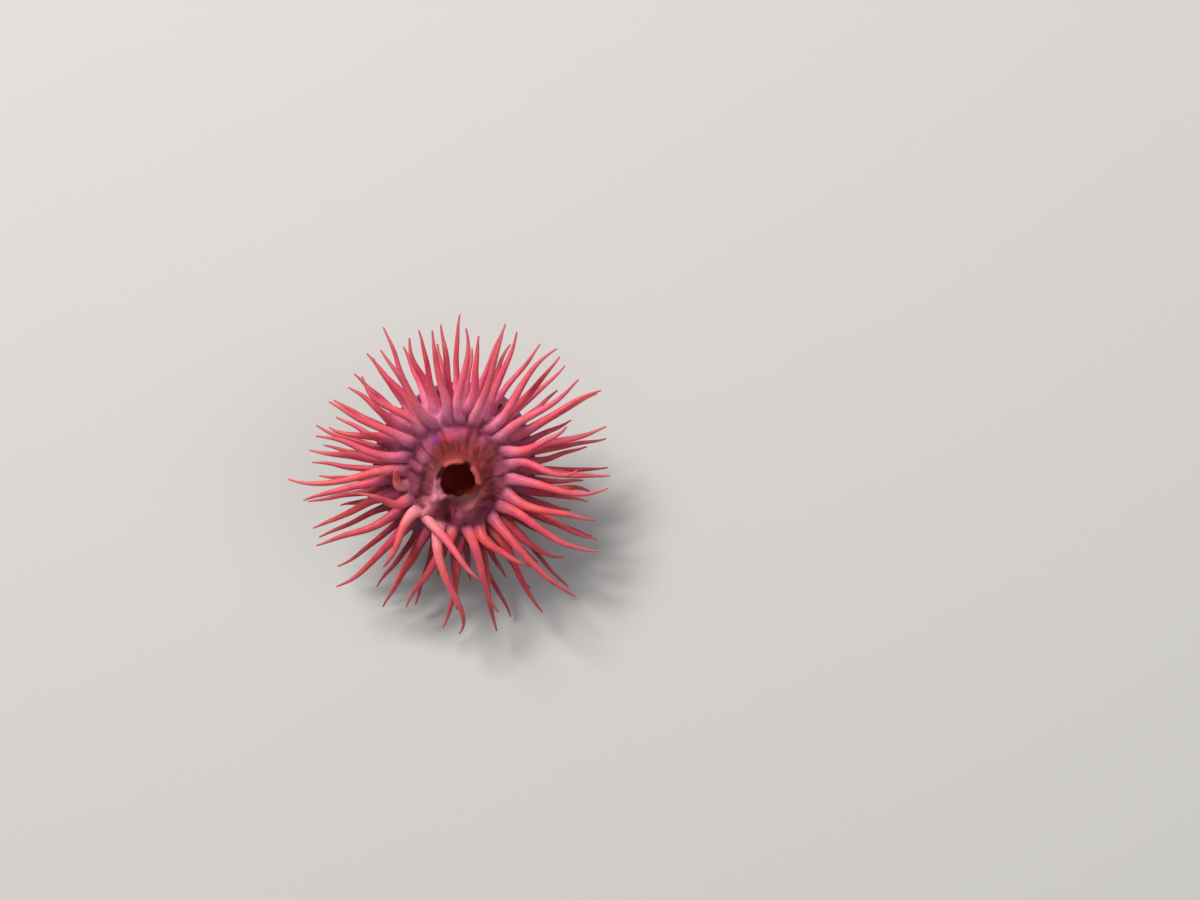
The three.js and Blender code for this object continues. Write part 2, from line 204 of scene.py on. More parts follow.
# Folds of the disc: a ridge (or a furrow, where the height is negative) from one place to another
# in the crown's plane, with its half width and its height.
FOLDS = [
    ((-5.0, 7.6), (-7.6, 1.4), 1.2, 0.7),       # along the left margin
    ((-7.6, 1.4), (-9.8, -6.6), 1.2, 0.7),
    ((-3.9, 0.2), (-4.6, -4.8), 0.9, 0.9),      # the pale fold beside the mouth
    ((-4.6, -4.8), (-6.7, -9.2), 1.5, 1.2),
    ((-6.0, 2.4), (-6.9, -4.2), 0.8, -0.8),     # the groove between those two
    ((6.5, -4.3), (3.8, -6.7), 1.7, 1.2),       # the lobe below the mouth
    ((3.8, -6.7), (1.6, -11.2), 1.9, 1.3),
    ((-1.7, -6.0), (-1.8, -10.8), 0.9, -1.0),   # the furrow beside it
    ((10.4, 0.4), (10.8, -6.2), 1.1, 0.7),      # along the right margin
    ((8.7, -2.4), (8.0, -9.0), 1.0, -0.6),
    ((-2.6, 9.0), (1.8, 9.6), 1.1, 0.45),       # above the mouth
    ((-3.0, 11.2), (4.6, 11.4), 0.9, -0.4),
    ((8.9, 5.4), (5.6, 8.8), 1.0, -0.5),
    ((5.0, 4.6), (7.6, 1.0), 1.2, 0.4),
]

# The throat from its floor up and over the lips: radius, height and share of the pleats.
THROAT_PROFILE = [
    (1.2, -2.55, 0.3), (2.5, -2.5, 0.6), (3.35, -2.2, 0.9), (3.8, -1.5, 1.0), (3.98, -0.5, 1.0),
    (4.02, 0.6, 1.0), (4.04, 1.6, 0.9), (4.08, 2.5, 0.7), (4.18, 3.15, 0.45), (4.38, 3.6, 0.3),
    (4.65, 3.88, 0.2), (4.95, 3.85, 0.2), (5.25, 3.55, 0.15), (5.5, 3.2, 0.1), (5.75, 2.98, 0.0),
]
# The collar from the furrow under the tentacles to the column: radius, height and share of the beads.
COLLAR_PROFILE = [
    (17.15, -3.9, 0.0), (17.3, -4.35, 0.2), (17.75, -4.65, 0.75), (18.3, -4.95, 1.0), (18.45, -5.4, 1.0),
    (18.3, -5.85, 1.0), (17.8, -6.2, 0.7), (17.2, -6.5, 0.2), (16.6, -6.75, 0.0),
]
# The column's rings, by their place along its middle line.
COLUMN_RINGS = [19.6, 18.6, 17.2, 15.6, 14.0, 12.4, 10.8, 9.2, 7.6, 6.2, 5.0, 4.0, 3.1, 2.3, 1.6, 1.0, 0.55]
# The sole's rings: how far inside the foot's rim, and the height. The last is at a radius of its own.
SOLE_RINGS = [(0.05, 0.25), (0.25, 0.06), (0.7, 0.0), (5, 0.0)]
SOLE_MIDDLE_RADIUS = 6.0

# ------------------------------------------------------------------ small helpers


GOLDEN_SHARE = 0.61803399


def scatter(index, seed):
    """An even scatter of numbers between -1 and 1, the same on every run."""
    return 2 * (((index + 1) * GOLDEN_SHARE + seed) % 1) - 1


def on_circle(radius, degrees, height):
    angle = math.radians(degrees)
    return np.array([radius * math.cos(angle), radius * math.sin(angle), height])


def unit(vector):
    return vector / np.linalg.norm(vector)


def clamp(x):
    return min(max(x, 0.0), 1.0)


def smooth(x):
    x = clamp(x)
    return x * x * (3 - 2 * x)


def hump(x, width):
    return math.exp(-(x / width) ** 2)


def angle_gap(a, b):
    """Degrees from b to a, between -180 and 180."""
    return (a - b + 180) % 360 - 180


# ------------------------------------------------------------------ the lean of the body

LEAN_AXIS = on_circle(1, LEAN_TURN, 0)
LEAN_DIRECTION = on_circle(1, LEAN_TURN - 90, 0)
BEND_RADIUS = COLUMN_LENGTH / math.radians(CROWN_LEAN)


def lean(angle):
    return np.array(Quaternion(Vector(LEAN_AXIS), angle).to_matrix())


def column_centre(length):
    angle = length / BEND_RADIUS
    rise = np.array([0, 0, BEND_RADIUS * math.sin(angle)])
    return LEAN_DIRECTION * BEND_RADIUS * (1 - math.cos(angle)) + rise


CROWN_TURN = lean(math.radians(CROWN_LEAN))
CROWN_ORIGIN = column_centre(COLUMN_LENGTH) + CROWN_TURN @ np.array([0, 0, CROWN_DEPTH])


def from_crown(point):
    return CROWN_ORIGIN + CROWN_TURN @ point


def bend(x, y, length):
    return column_centre(length) + lean(length / BEND_RADIUS) @ np.array([x, y, 0])


# ------------------------------------------------------------------ tentacle centre lines


def kind_of(ring, index):
    return YOUNG if ring is OUTER and index % 2 == 1 else ring


def tentacle_pose(ring, index):
    angle = ring["first"] + index * 360 / ring["count"]
    low = (1 - math.sin(math.radians(angle))) / 2
    kind = kind_of(ring, index)
    pose = {"turn": 0, "rise": ROOT_HANDLE, "low": low}
    for key, (high, lowest, play) in kind["pose"].items():
        pose[key] = high + (lowest - high) * low + play * scatter(index, ring["seed"] + SALTS[key])
    pose["base"] += angle
    if kind is not YOUNG:
        pose["reach"] -= PINCH_DEPTH * max(0.0, math.cos(math.radians(angle - PINCH_ANGLE))) ** 4
    pose.update(ring["standouts"].get(index, {}))
    return pose


def oval_disc(point):
    """Turns a round ring of the crown into the disc's oval, which fades out toward the margin's edge."""
    radius = math.hypot(point[0], point[1])
    share = clamp((MARGIN_RADIUS - radius) / (MARGIN_RADIUS - STRETCH_FROM))
    return np.array([point[0] + DISC_OFFSET * share, point[1] * (1 + DISC_STRETCH * share), point[2]])


class CentreLine:
    """One tentacle's middle in the crown's frame, read by its share of the length."""

    def __init__(self, ring, index):
        self.pose = pose = tentacle_pose(ring, index)
        root = oval_disc(on_circle(ring["radius"], pose["base"], ring["height"]))
        tip = on_circle(pose["reach"], pose["base"] + pose["sway"], pose["lift"])
        chord = tip - root
        length = np.linalg.norm(chord)
        tilt = math.radians(pose["tilt"])
        start = on_circle(math.sin(tilt), pose["base"] + pose["turn"], math.cos(tilt))
        heading = math.degrees(math.atan2(chord[1], chord[0])) + pose["hook"]
        pitch = math.radians(pose["pitch"])
        end = on_circle(math.cos(pitch), heading, math.sin(pitch))
        first = root + start * length * pose["rise"]
        second = tip - end * length * TIP_HANDLE
        side = unit(np.cross(chord, [0, 0, 1]))
        t = np.linspace(0, 1, LINE_SAMPLES)[:, None]
        line = (1 - t) ** 3 * root + 3 * (1 - t) ** 2 * t * first
        line = line + 3 * (1 - t) * t ** 2 * second + t ** 3 * tip
        over = np.cross(side, unit(chord))
        swing = 2 * math.pi * (1.7 * t + scatter(index, ring["seed"] + 0.5))
        drift = side * 0.2 * np.sin(swing) + over * 0.15 * np.cos(1.3 * swing)
        self.points = line + side * pose["wave"] * np.sin(2 * math.pi * t) + drift * t ** 0.5 * (1 - t) ** 0.3
        steps = np.linalg.norm(np.diff(self.points, axis=0), axis=1)
        self.travelled = np.concatenate([[0], np.cumsum(steps)])
        self.length = self.travelled[-1]

    def at(self, share):
        return np.array([np.interp(share * self.length, self.travelled, self.points[:, k]) for k in range(3)])

    def direction(self, share):
        return unit(self.at(min(share + 0.01, 1.0)) - self.at(max(share - 0.01, 0.0)))


# ------------------------------------------------------------------ colours, as linear light


def srgb(red, green, blue):
    """A colour as it looks on a screen, out of 255, in linear light."""
    values = np.array([red, green, blue]) / 255
    return np.where(values <= 0.04045, values / 12.92, ((values + 0.055) / 1.055) ** 2.4)


CORAL = srgb(218, 84, 80)
ROSE = srgb(238, 98, 132)
CRIMSON = srgb(156, 42, 64)
SALMON = srgb(234, 116, 120)
# Painted light: the paler colour of the crown's high margin.
HIGH_MARGIN_LIT = srgb(214, 122, 156)
SCARLET = srgb(204, 48, 62)
PALE_ROSE = srgb(248, 156, 194)
# Painted shade: the pale root's darker copy for the crown's low side.
PALE_LOW_SHADED = srgb(158, 80, 104)
# Painted light: the root colour of a pale standout that catches the light.
PALE_ROOT = srgb(236, 158, 160)
# Painted shade: the dark red for a tentacle's underside.
UNDERSIDE_SHADE = srgb(122, 28, 46)
# Painted light and shade of the margin between the tentacles: a lit copy for the crown's high side, a shaded
# one for its low side.
VALLEY_LIT = srgb(208, 112, 150)
VALLEY_SHADED = srgb(92, 28, 40)
TIP = srgb(188, 104, 102)
LIP_CORAL = srgb(186, 82, 74)
LIP_DARK = srgb(82, 26, 28)
FOLD_PALE = srgb(216, 134, 148)
THROAT_DARK = srgb(128, 10, 6)
THROAT_BROWN = srgb(150, 58, 48)
# Painted shade: the near-black of the throat's lower wall, in the pit's shade.
THROAT_WALL_SHADE = srgb(40, 7, 6)
# Painted light: the red of the lit lower-right wall of the throat.
THROAT_LIT_RED = srgb(112, 6, 5)
LILAC = srgb(190, 118, 152)
BEAD_BLUE = srgb(58, 122, 214)
FOOT_BLUE = srgb(72, 96, 160)
COLUMN_RED = srgb(140, 36, 40)
COLUMN_DARK = srgb(104, 26, 30)
FURROW = srgb(120, 34, 44)
DISC_MIDDLE = srgb(118, 44, 44)
DISC_RIM = srgb(140, 64, 84)

# Colours that the material lays over those of the points.
BROAD_PINK = srgb(214, 150, 190)
WARM_STREAK = srgb(226, 98, 66)
COOL_STREAK = srgb(190, 58, 118)
DARK_RAY = srgb(170, 100, 110)
PALE_RAY = srgb(206, 130, 144)
DARK_LINE = srgb(150, 96, 100)
BRIGHT_LINE = srgb(190, 70, 62)
WARM_GRAIN = srgb(255, 226, 206)
DARK_GRAIN = srgb(190, 110, 150)
VIOLET_SPOT = srgb(160, 88, 176)

# The crown's high margin is painted lighter from this far up, as painted light.
HIGH_MARGIN_FROM = 11.4
HIGH_MARGIN_WIDTH = 2.4

# The lilac patch above the disc, which also tints the roots that stand in it.
LILAC_PATCH = ((-3.1, 13.0), (2.6, 2.4), 0)
LILAC_ROOT_SHARE = 0.2

# Patches of the disc's colour: centre, half widths along and across, turn, colour and strength.
PATCHES = [
    ((2.0, 6.2), (6.2, 3.0), 0, srgb(134, 40, 36), 0.95),
    ((-2.7, 6.0), (2.0, 2.2), 0, srgb(124, 34, 24), 0.8),
    ((6.8, 2.2), (2.4, 3.2), 0, srgb(116, 32, 24), 0.9),
    ((9.6, 5.8), (2.2, 3.0), 40, srgb(112, 40, 36), 0.8),
    ((0.2, 10.4), (5.2, 1.9), 0, srgb(166, 62, 94), 0.85),
    ((6.6, 9.6), (2.4, 2.2), 0, srgb(180, 80, 108), 0.8),
    ((-4.9, 1.6), (1.1, 3.0), 8, srgb(118, 48, 46), 0.8),
    ((-6.1, 5.4), (1.4, 3.4), -28, srgb(162, 78, 108), 0.85),
    ((-8.0, 0.6), (1.4, 4.4), -14, srgb(142, 76, 92), 0.9),
    ((-9.6, -5.0), (1.5, 3.6), -14, srgb(140, 62, 84), 0.8),
    ((-5.6, -1.6), (1.1, 3.4), -10, srgb(126, 62, 78), 0.85),
    ((-3.8, -2.2), (0.9, 3.0), -12, srgb(214, 130, 146), 0.95),
    # The pale fold's lower part: its own pale colour, brightened as painted light where it catches the light.
    ((-5.5, -6.6), (1.3, 3.4), -30, srgb(240, 158, 162), 0.97),
    ((6.2, -4.4), (2.0, 1.6), -45, srgb(134, 62, 60), 0.85),
    ((3.8, -6.8), (1.9, 2.2), -40, srgb(158, 82, 96), 0.9),
    ((1.9, -9.2), (2.1, 2.0), -20, srgb(174, 88, 116), 0.9),
    ((1.7, -12.0), (2.2, 1.5), 0, srgb(114, 52, 76), 0.9),
    ((-1.9, -8.2), (1.3, 3.6), 2, srgb(122, 44, 56), 0.9),
    ((10.7, -2.6), (1.2, 4.6), 4, srgb(156, 78, 96), 0.85),
    ((8.6, -4.6), (1.1, 4.2), 4, srgb(138, 64, 64), 0.75),
    ((-4.0, 8.6), (1.1, 0.9), 0, srgb(142, 56, 150), 0.7),
    # Painted highlight: an orange-red streak on the edge of the step above the mouth.
    ((-1.4, 9.1), (1.3, 0.9), 0, srgb(188, 52, 44), 0.7),
    ((-3.1, 12.6), (2.4, 1.9), 0, srgb(196, 116, 152), 0.9),
    ((2.3, 13.2), (1.2, 1.4), 0, srgb(104, 44, 70), 0.5),
    ((-9.0, 6.6), (1.6, 2.2), 30, srgb(108, 38, 58), 0.6),
]


def mix(a, b, share):
    return a + (b - a) * clamp(share)


def patch_share(x, y, centre, widths, turn):
    angle = math.radians(turn)
    dx, dy = x - centre[0], y - centre[1]
    u = (dx * math.cos(angle) + dy * math.sin(angle)) / widths[0]
    v = (-dx * math.sin(angle) + dy * math.cos(angle)) / widths[1]
    return math.exp(-(u * u + v * v) ** 1.2)


def disc_colour(x, y):
    colour = mix(DISC_MIDDLE, DISC_RIM, (math.hypot(x, y / (1 + DISC_STRETCH)) - 5) / 5)
    for centre, widths, turn, patch, strength in PATCHES:
        colour = mix(colour, patch, strength * patch_share(x, y, centre, widths, turn))
    # Painted light on the crown's high margin.
    return mix(colour, HIGH_MARGIN_LIT, 0.8 * smooth((y - HIGH_MARGIN_FROM) / HIGH_MARGIN_WIDTH))


def tentacle_colour(ring, index, share, pose):
    """Paler at the root, more so on the crown's high side, and duller toward the tip. The paler high side
    is painted light; the darker low side and outer rings are painted shade.
    """
    low = pose["low"]
    # A standout's pale share is painted light: it paints the tentacle lighter and lifts the low side's
    # painted shade off it.
    light = pose.get("pale", 0)
    tone = scatter(index, ring["seed"] + 0.41)
    depth = ring["depth"] * (0.35 + 0.65 * low)
    front = 1 - min(1.6 * ring["depth"], 1)
    shade = low * (1 - light)
    # Tone with painted light and shade: rose and lighter on the crown's high side, coral and darker on its
    # low side.
    body = mix(ROSE, CORAL, 0.5 + 0.4 * tone + 0.7 * (low - 0.5))
    # Salmon on the inner ring's root half is partly its tone and partly painted light; painted shade on the
    # low side takes it off.
    body = mix(body, SALMON, (0.65 - 0.25 * tone) * front * (1 - share) * (1 - 0.8 * shade))
    body = mix(body, SCARLET, (0.75 - 0.45 * front) * (scatter(index, ring["seed"] + 0.23) + 0.2))
    # Painted shade: crimson for the rings lying further back and for the crown's low side.
    crimson_shade = 0.72 * depth + 0.4 * shade * (1 - 0.7 * share)
    body = mix(body, CRIMSON, crimson_shade + 0.12 * scatter(index, ring["seed"] + 0.66))
    # The root's pale tone is painted lighter on the crown's high side and darker on its low side, and reaches
    # further up on the high side.
    pale = mix(mix(PALE_ROSE, PALE_LOW_SHADED, 1.3 * low), PALE_ROOT, light)
    extent = 0.56 - 0.4 * low + 0.3 * light
    root = mix(body, pale, (0.9 - 0.5 * depth) * smooth(1 - share / extent))
    return mix(root, TIP, 0.65 * smooth((share - 0.45) / 0.5) * (1 - 0.4 * depth))


# ------------------------------------------------------------------ the skin as one mesh


class Skin:
    """Points with their colours and zones, and the faces between them."""

    ZONES = ("tentacle", "wet", "fleck", "streak", "column")

    def __init__(self):
        self.points = []
        self.flat = []
        self.limbs = []
        self.colours = []
        self.zones = {name: [] for name in self.ZONES}
        self.faces = []

    def add(self, point, flat, colour, limb=(0, 0, 0), **zones):
        """flat is the same place before the body leans; limb runs round and along a tentacle."""
        self.points.append(np.asarray(point, float))
        self.flat.append(np.asarray(flat, float))
        self.limbs.append(limb)
        self.colours.append(colour)
        for name in self.ZONES:
            self.zones[name].append(zones.get(name, 0.0))
        return len(self.points) - 1

    def band(self, outer, inner):
        """Faces between two rings, the inner one nearer the crown's middle or the tentacle's tip."""
        count = len(outer)
        for j in range(count):
            k = (j + 1) % count
            self.faces.append((outer[j], outer[k], inner[k], inner[j]))

    def cap(self, ring, centre):
        for j in range(len(ring)):
            self.faces.append((ring[j], ring[(j + 1) % len(ring)], centre))


def disc_height(radius):
    share = clamp((radius - DISC_HOLE_RADIUS) / (DISC_RADIUS - DISC_HOLE_RADIUS))
    return DISC_CENTRE_HEIGHT + (DISC_MARGIN_HEIGHT - DISC_CENTRE_HEIGHT) * share ** 1.4


def relief(x, y):
    """Height of the disc's folds at a place in the crown's plane."""
    total = 0.0
    for start, end, width, height in FOLDS:
        ax, ay = start
        dx, dy = end[0] - ax, end[1] - ay
        share = clamp(((x - ax) * dx + (y - ay) * dy) / (dx * dx + dy * dy))
        distance = math.hypot(x - ax - share * dx, y - ay - share * dy)
        total += height * math.exp(-(distance / width) ** 2.6)
    place = Vector((x, y, 0))
    return total + 0.22 * noise.noise(place * 0.5) + 0.1 * noise.noise(place * 1.3)


def crown_point(radius, degrees, height, folds=0.0):
    """A point of the crown's own frame: oval, and slid with the mouth near the middle."""
    point = oval_disc(on_circle(radius, degrees, height))
    hold = clamp((DISC_RADIUS - radius) / (DISC_RADIUS - DISC_HOLE_RADIUS))
    point[0] += hold * MOUTH_SHIFT[0]
    point[1] += hold * MOUTH_SHIFT[1]
    point[2] += folds * relief(point[0], point[1])
    return point


def angle_at(step):
    return INNER["first"] + step * STEP


def column_radius(length):
    flare = FOOT_SPREAD * math.exp(-length / FLARE_LENGTH)
    return COLUMN_RADIUS + flare + COLUMN_SWELL * (length / COLUMN_LENGTH) ** 3


def lip_arcs(degrees):
    """How much of the thin lip above, the thicker one at the right and the left fold is here."""
    upper = smooth((34 - abs(angle_gap(degrees, UPPER_LIP))) / 12)
    right = smooth((34 - abs(angle_gap(degrees, RIGHT_LIP))) / 14)
    left = smooth((36 - abs(angle_gap(degrees, LEFT_FOLD))) / 16)
    return upper, right, left


def mouth_point(radius, degrees, height, pleat):
    """A point of the lips or the throat."""
    upper, right, left = lip_arcs(degrees)
    bare = 1 - max(upper, right, left)
    lift = 0.25 * upper + 0.3 * right + 0.35 * left - 0.45 * bare
    lip = smooth((height - 2.2) / 1.6)
    overhang = 1.5 * smooth((62 - abs(angle_gap(degrees, LOWER_EDGE))) / 34) * smooth((height - 1.2) / 2.2)
    folds = 0.5 + 0.5 * math.sin(math.radians(degrees * 9) + 1.4 * math.sin(math.radians(degrees * 2)))
    inward = pleat * (0.3 * folds + 0.12 * math.sin(math.radians(degrees * 5)))
    thick = lip * smooth((5.0 - radius) / 0.8) * (0.4 * right + 0.25 * left - 0.2 * bare)
    thick += overhang * smooth((LIP_EDGE_RADIUS - radius) / 1.5)
    return crown_point(radius - inward - thick, degrees, height + lip * lift)


def mouth_colour(radius, degrees, height, point):
    upper, right, left = lip_arcs(degrees)
    # Painted light: a red glow where light falls on the throat's lower-right wall.
    glow = hump(angle_gap(degrees, GLOW_SIDE), 36) * hump(height - 0.2, 1.6)
    brown = hump(angle_gap(degrees, BROWN_SIDE), 60) * smooth((height + 1.5) / 4)
    # Painted shade: the throat's lower wall is painted dark as the pit's shade.
    lower_shade = hump(angle_gap(degrees, LOWER_EDGE), 75) * smooth((height + 2.3) / 1.2)
    inside = mix(mix(THROAT_DARK, THROAT_BROWN, brown), THROAT_WALL_SHADE, lower_shade)
    inside = mix(inside, THROAT_LIT_RED, glow)
    rim = mix(mix(LIP_DARK, FOLD_PALE, left), LIP_CORAL, max(upper, 0.9 * right))
    colour = mix(inside, rim, smooth((height - 2.5 + 0.8 * left) / 1.0))
    return mix(colour, disc_colour(point[0], point[1]), smooth((radius - 4.95) / 0.6))


def add_mouth_and_disc(skin):
    """From the throat's floor out to the ring where the tentacles start."""
    middle = crown_point(0, 0, THROAT_FLOOR)
    centre = skin.add(from_crown(middle), middle, THROAT_DARK, wet=1.0)
    rings = []
    for radius, height, pleat in THROAT_PROFILE:
        ring = []
        fade = smooth((radius - 4.5) / 1.0)
        wet = 1 - 0.25 * smooth((height - 1.5) / 1.5)
        for step in range(AROUND):
            degrees = angle_at(step)
            point = mouth_point(radius, degrees, height, pleat)
            point[2] += fade * (relief(point[0], point[1]) + rim_fill(radius, degrees))
            colour = mouth_colour(radius, degrees, height, point)
            ring.append(skin.add(from_crown(point), point, colour, wet=wet))
        rings.append(ring)
    for i in range(1, DISC_RINGS + 1):
        radius = LIP_EDGE_RADIUS + (DISC_EDGE_RADIUS - LIP_EDGE_RADIUS) * i / DISC_RINGS
        zones = {
            "streak": smooth((radius - 5.2) / 1.2),
            "wet": 0.75 * smooth((6.8 - radius) / 1.2),
            "fleck": 0.7 * smooth((radius - 8) / 2.5),
        }
        ring = []
        for step in range(AROUND):
            degrees = angle_at(step)
            phase = math.radians(degrees - INNER["first"]) * INNER["count"]
            between = -math.cos(phase) * smooth((radius - 7) / 3)
            point = crown_point(radius, degrees, disc_height(radius) + 0.06 * between)
            point[2] += relief(point[0], point[1]) + rim_fill(radius, degrees)
            ring.append(skin.add(from_crown(point), point, disc_colour(point[0], point[1]), **zones))
        rings.append(ring)
    skin.cap(rings[0], centre)
    for inner, outer in zip(rings, rings[1:]):
        skin.band(outer, inner)
    return rings[-1]


def rim_fill(radius, degrees):
    """The disc swells up to the mouth's edge where no lip stands."""
    upper, right, left = lip_arcs(degrees)
    return (0.4 * (1 - max(upper, right, left)) + 0.5 * left) * math.exp(-max(radius - 5.4, 0) / 1.5)


def tube_rings(ring, index, line, angles):
    """A tentacle's own rings with their shares of its length, and the point that closes its tip."""
    root = line.at(0)
    first_share = ring["start"] / line.length
    tangent = line.direction(first_share)
    outward = unit(np.array([root[0], root[1], 0]))
    inward = unit(np.cross(tangent, np.cross([0, 0, 1], outward)))
    # The subdivision draws a ring in, and this makes up for it.
    grow = 1 / (2 / 3 + math.cos(2 * math.pi / len(angles)) / 3)
    stations = kind_of(ring, index)["stations"]
    widen, narrow = ring["flare"]
    rings = []
    for station in range(stations):
        share = min(first_share + (1 - first_share) * station / (stations - 1), 1.0)
        centre = line.at(share)
        tangent = line.direction(share)
        inward = unit(inward - tangent * np.dot(inward, tangent))
        side = np.cross(tangent, inward)
        radius = ring["tip"] + (ring["root"] - ring["tip"]) * (1 - share) ** TAPER
        radius *= 1 - TIP_THINNING * smooth((share - TIP_THIN_FROM) / TIP_THIN_OVER)
        lump = LUMP_RELIEF * scatter(station * 5 + index, 0.2) * smooth(5 * share)
        wide = widen * math.exp(-(share - first_share) * line.length / narrow)
        points = []
        for angle in angles:
            across = inward * math.cos(angle) * (radius + 0.15 * wide)
            along = side * math.sin(angle) * (radius + wide)
            points.append(centre + (across + along) * grow * (1 + lump))
        rings.append((points, share))
    tip = line.at(1.0)
    last_points = rings[-1][0]
    for shrink, push in TIP_CAPS:
        points = [tip + tangent * ring["tip"] * push + (p - tip) * shrink for p in last_points]
        rings.append((points, 1.0))
    return rings, tip + tangent * ring["tip"] * TIP_END


def root_rings(skin, line, loop, tube, normal):
    """The rings that lead from the margin's loop of points to the first ring of the tube."""
    root = line.at(0)
    heading = line.direction(0.02)
    climb = max(np.dot(heading, normal), 0.4)
    blends = []
    for part in ROOT_BLENDS:
        points = []
        for vertex, end in zip(loop, tube):
            edge = skin.flat[vertex]
            foot = end - heading * np.dot(end - root, normal) / climb
            corner = root + (edge - root) * 0.45 + (foot - root) * 0.5
            points.append((1 - part) ** 2 * edge + 2 * part * (1 - part) * corner + part ** 2 * end)
        blends.append((points, 0.0))
    return blends


def add_tentacle(skin, ring, index, loop, normal):
    """Grows one tentacle out of a closed loop of skin points."""
    line = CentreLine(ring, index)
    low = line.pose["low"]
    sides = ring["sides"]
    angles = [2 * math.pi * (j - ring["cell"]) / sides for j in range(sides)]
    rings, end = tube_rings(ring, index, line, angles)
    blends = root_rings(skin, line, loop, rings[0][0], normal)
    previous = loop
    for order, (points, share) in enumerate(blends + rings):
        # The disc's colour gives way to the tentacle's over the first millimetres.
        climbed = (order + 1) / (len(blends) + 1) * ring["start"]
        bare = climbed if order < len(blends) else share * line.length
        mask = smooth(bare / (2.6 - 1.4 * low))
        colour = tentacle_colour(ring, index, share, line.pose)
        fleck = 0.9 * (1 - mask) + 0.35 * smooth(1 - share / 0.12)
        ids = []
        for point, angle in zip(points, angles):
            # Painted shade: a tentacle's underside and sides are darkened near the root, more on the crown's
            # low side.
            under = smooth((0.35 - math.cos(angle)) / 1.2) * math.exp(-share * line.length / 9)
            shaded = mix(colour, UNDERSIDE_SHADE, (0.3 + 0.45 * low) * under)
            blended = mix(disc_colour(point[0], point[1]), shaded, mask + 0.5 * ring["depth"])
            if share < LILAC_ROOT_SHARE:
                blended = mix(blended, LILAC, 0.85 * patch_share(point[0], point[1], *LILAC_PATCH))
            limb = (math.cos(angle) + 5 * index, math.sin(angle) + 9 * ring["seed"], share * line.length)
            ids.append(skin.add(from_crown(point), point, blended, limb, tentacle=mask, fleck=fleck))
        skin.band(previous, ids)
        previous = ids
    limb = (5 * index, 9 * ring["seed"], line.length)
    colour = tentacle_colour(ring, index, 1.0, line.pose)
    skin.cap(previous, skin.add(from_crown(end), end, colour, limb, tentacle=1.0))


def add_tentacle_band(skin, ring, inner):
    """One band of the margin, cut into cells with a tentacle in each. Returns its outer ring."""
    half = ring["cell"]
    slope = math.radians(ring["slope"])
    spacing = AROUND // ring["count"]
    folds = 1.0 if ring is INNER else 0.0

    def margin_point(place, step):
        radius, height = place
        point = crown_point(radius, angle_at(step), height, folds)
        low = (1 - math.sin(math.radians(angle_at(step)))) / 2
        # Painted shade between the tentacles, darker on the low side and the outer rings, and painted light
        # on the high side.
        colour = mix(VALLEY_LIT, VALLEY_SHADED, 1.2 * low + 0.4 * ring["depth"])
        shade = mix(disc_colour(point[0], point[1]), colour, smooth((radius - 11.5) / 2))
        return skin.add(from_crown(point), point, shade, fleck=0.8)

    outer = [margin_point(ring["edge"], step) for step in range(AROUND)]
    first_step = round((ring["first"] - INNER["first"]) / STEP)
    middles = [first_step + index * spacing for index in range(ring["count"])]
    spokes = {(middle - half) % AROUND: margin_point(ring["spoke"], middle - half) for middle in middles}
    for index, middle in enumerate(middles):
        steps = [(middle + k) % AROUND for k in range(half, -half - 1, -1)]
        loop = [spokes[steps[0]]] + [inner[step] for step in steps] + [spokes[steps[-1]]]
        loop += [outer[step] for step in reversed(steps)]
        loop = loop[1:] + loop[:1]
        normal = on_circle(math.sin(slope), angle_at(middle), math.cos(slope))
        add_tentacle(skin, ring, index, loop, normal)
    return outer


def add_collar(skin, inner):
    """The furrow under the tentacles, the ring of beads and the underside of the collar."""
    previous = inner
    for radius, height, bulge in COLLAR_PROFILE:
        ring = []
        for step in range(AROUND):
            phase = (angle_at(step) - MIDDLE["first"]) * BEAD_COUNT / 360
            crest = 0.5 + 0.5 * math.cos(2 * math.pi * phase)
            grow = (crest ** 1.2 - 0.2) * BEAD_RELIEF * bulge
            point = on_circle(radius + grow, angle_at(step), height)
            colour = mix(mix(FURROW, COLUMN_RED, bulge), BEAD_BLUE, 3.4 * crest * bulge - 1.25)
            ring.append(skin.add(from_crown(point), point, colour, wet=0.5 * bulge))
        skin.band(ring, previous)
        previous = ring
    return previous


